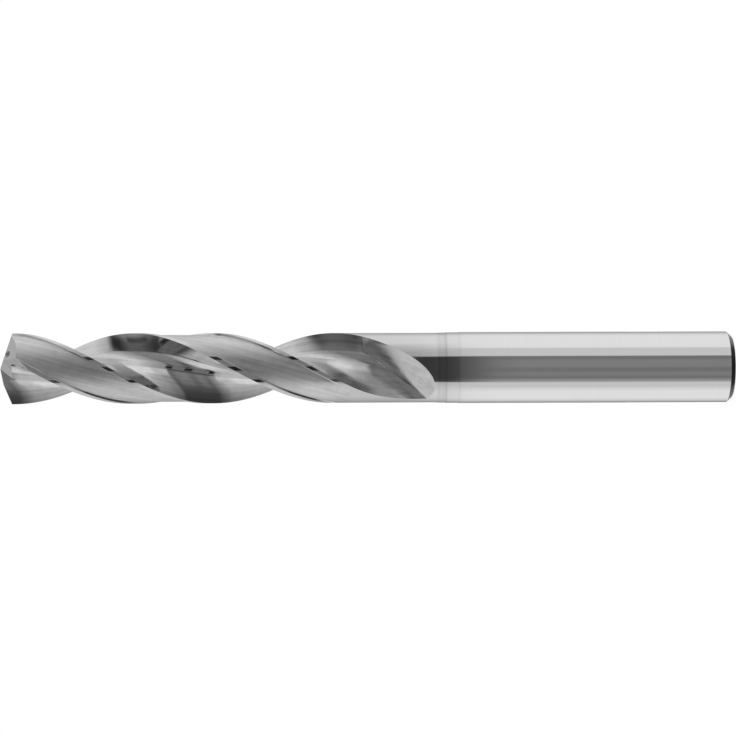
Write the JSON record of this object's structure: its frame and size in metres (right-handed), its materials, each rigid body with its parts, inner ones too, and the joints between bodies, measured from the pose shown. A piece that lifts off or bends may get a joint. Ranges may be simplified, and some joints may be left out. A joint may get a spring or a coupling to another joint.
{
  "type": "carbide drill bit",
  "caption": "Solid carbide twist drill with a plain shank, helical flutes, double margins, a thinned faceted point and coolant holes along its length.",
  "frame": {"origin": "centre of the flat shank end", "axes": "+Z along the axis from the shank end to the point, the cutting lips close to the X axis"},
  "size_m": [0.01, 0.01, 0.103],
  "materials": {
    "ground_carbide": "fine ground and polished, bare"
  },
  "bodies": {
    "root": {"drill_bit": "ground_carbide"}
  },
  "joints": []
}
